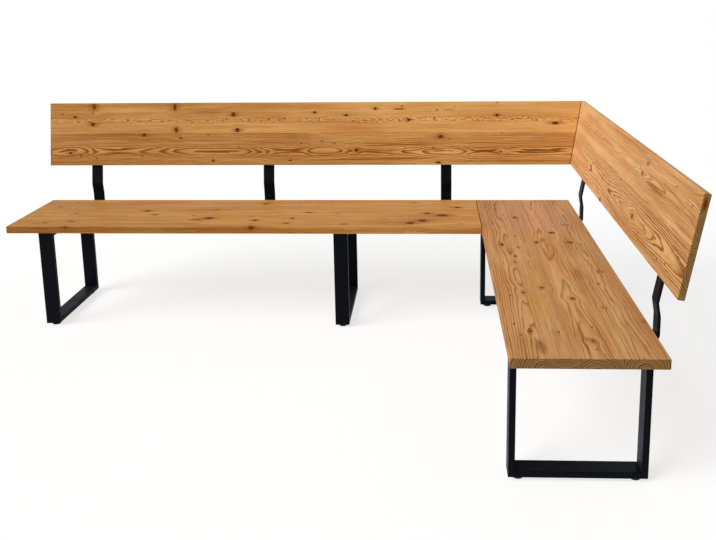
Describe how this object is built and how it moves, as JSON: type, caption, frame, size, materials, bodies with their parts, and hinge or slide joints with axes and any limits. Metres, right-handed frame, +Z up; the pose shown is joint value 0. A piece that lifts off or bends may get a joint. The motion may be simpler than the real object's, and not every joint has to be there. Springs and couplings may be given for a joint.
{
  "type": "corner bench",
  "caption": "L-shaped corner bench: solid pine seats and tilted mitred back boards on closed sled frames of black rectangular steel tube.",
  "frame": {"origin": "on the floor, under the middle of the bounding box", "axes": "+Z up; the long bench runs along X with its free end at -X; the short bench runs along Y from the corner at +X +Y to its free end at -Y; sitters face -Y on the long bench and -X on the short one"},
  "size_m": [2.528, 1.688, 0.9127],
  "materials": {
    "pine": "solid knotty pine, oiled, honey brown, satin",
    "black_steel": "black powder coat, fine texture, satin",
    "black_screw": "black oxide screw, semi-gloss",
    "zinc_steel": "zinc plated steel",
    "glide_plastic": "moulded black plastic, matt",
    "beech": "plain beech dowel"
  },
  "bodies": {
    "root": {"back_board_screws": "black_screw", "bracket_screws": "black_screw", "corner_frame_bottom_rail": "black_steel", "corner_frame_front_upright": "black_steel", "corner_frame_rear_upright": "black_steel", "corner_frame_top_rail": "black_steel", "end_frame_bottom_rail": "black_steel", "end_frame_front_upright": "black_steel", "end_frame_rear_upright": "black_steel", "end_frame_top_rail": "black_steel", "frame_screws": "black_screw", "front_joint_plate": "black_steel", "glide_inserts": "zinc_steel", "glide_pads": "glide_plastic", "glide_studs": "zinc_steel", "joint_dowels": "beech", "joint_plate_screws": "black_screw", "left_frame_bottom_rail": "black_steel", "left_frame_front_upright": "black_steel", "left_frame_rear_upright": "black_steel", "left_frame_top_rail": "black_steel", "long_back": "pine", "long_left_post": "black_steel", "long_middle_post": "black_steel", "long_right_post": "black_steel", "long_seat": "pine", "lower_bracket": "black_steel", "middle_frame_bottom_rail": "black_steel", "middle_frame_front_upright": "black_steel", "middle_frame_rear_upright": "black_steel", "middle_frame_top_rail": "black_steel", "post_foot_screws": "black_screw", "rear_joint_plate": "black_steel", "short_back": "pine", "short_corner_post": "black_steel", "short_end_post": "black_steel", "short_seat": "pine", "upper_bracket": "black_steel"}
  },
  "joints": []
}
